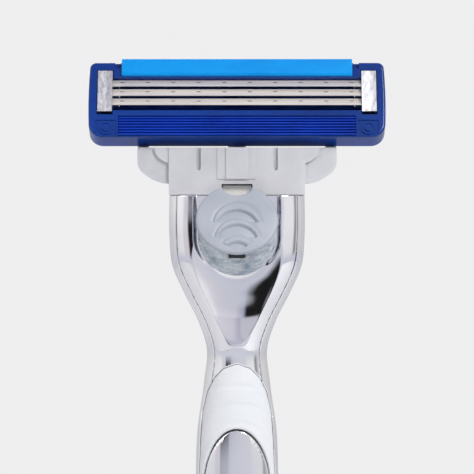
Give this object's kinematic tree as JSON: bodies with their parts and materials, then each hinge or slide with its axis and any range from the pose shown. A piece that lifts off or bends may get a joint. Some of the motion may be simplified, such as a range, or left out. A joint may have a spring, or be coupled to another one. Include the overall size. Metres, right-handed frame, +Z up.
{
  "type": "cartridge razor",
  "caption": "Wet shaving razor: pivoting blade cartridge with lubricating strip and guard fins, chromed handle, round release button and white rubber grip.",
  "frame": {"origin": "centre of the flat butt face at the lower end of the handle", "axes": "+Z runs up the handle to the cartridge, -Y is the side with the blades and the release button, +X is across, along the blades"},
  "size_m": [0.0414, 0.0174, 0.1429],
  "materials": {
    "chrome": "mirror chrome plating",
    "grip_rubber": "soft matte white rubber",
    "insert_plastic": "matte moulded plastic",
    "steel": "bare steel",
    "plunger_plastic": "smooth moulded plastic",
    "button_plastic": "soft matte grey-blue plastic",
    "skirt_plastic": "clear moulded plastic with an icy blue tint",
    "slide_plastic": "ivory white gloss",
    "connector_plastic": "light grey satin plastic",
    "housing_plastic": "blue gloss plastic",
    "guard_rubber": "soft blue elastomer",
    "strip": "light blue lubricating strip",
    "clip_metal": "brushed aluminium",
    "finger_plastic": "blue moulded plastic",
    "blade_steel": "fine ground steel"
  },
  "bodies": {
    "handle": {"front_shell": "chrome", "rear_shell": "chrome", "front_grip": "grip_rubber", "rear_grip": "grip_rubber", "butt_cap": "chrome", "head_insert": "insert_plastic", "insert_pin": "steel", "core_bar": "steel", "shell_screws": "steel", "plunger_spring": "steel", "button_spring": "steel"},
    "button": {"button_cap": "button_plastic", "button_skirt": "skirt_plastic", "ejector_slide": "slide_plastic"},
    "plunger": {"plunger": "plunger_plastic"},
    "connector": {"connector_frame": "connector_plastic"},
    "cartridge": {"cartridge_housing": "housing_plastic", "guard_fins": "guard_rubber", "lube_strip": "strip", "left_clip": "clip_metal", "right_clip": "clip_metal", "left_blade_springs": "finger_plastic", "right_blade_springs": "finger_plastic"},
    "blade_1": {"blade_support_1": "blade_steel", "blade_edge_1": "blade_steel"},
    "blade_2": {"blade_support_2": "blade_steel", "blade_edge_2": "blade_steel"},
    "blade_3": {"blade_support_3": "blade_steel", "blade_edge_3": "blade_steel"}
  },
  "joints": [
    {"name": "cartridge_release", "type": "slide", "parent": "handle", "child": "connector", "axis": [0, 0, 1], "range_m": [0, 0.016]},
    {"name": "cartridge_pivot", "type": "hinge", "parent": "connector", "child": "cartridge", "pos_m": [0, -0.00271, 0.13347], "axis": [-1, 0, 0], "range_deg": [0, 40], "stiffness_Nm_per_rad": 0.02, "springref_deg": -14.32},
    {"name": "plunger_slide", "type": "slide", "parent": "handle", "child": "plunger", "axis": [0, 0, -1], "range_m": [0, 0.00205], "deforming": ["plunger_spring"]},
    {"name": "button_slide", "type": "slide", "parent": "handle", "child": "button", "axis": [0, 0, 1], "range_m": [0, 0.003], "stiffness_N_per_m": 400, "springref_m": -0.001, "deforming": ["button_spring"]},
    {"name": "blade_1_float", "type": "slide", "parent": "cartridge", "child": "blade_1", "axis": [0, 0.9272, -0.3746], "range_m": [0, 0.00025], "stiffness_N_per_m": 300, "springref_m": -0.0002},
    {"name": "blade_2_float", "type": "slide", "parent": "cartridge", "child": "blade_2", "axis": [0, 0.9272, -0.3746], "range_m": [0, 0.00025], "stiffness_N_per_m": 300, "springref_m": -0.0002},
    {"name": "blade_3_float", "type": "slide", "parent": "cartridge", "child": "blade_3", "axis": [0, 0.9272, -0.3746], "range_m": [0, 0.00025], "stiffness_N_per_m": 300, "springref_m": -0.0002}
  ],
  "couplings": [
    {"joint": "cartridge_pivot", "follows": "plunger_slide", "rad_per_m": 340.25}
  ]
}
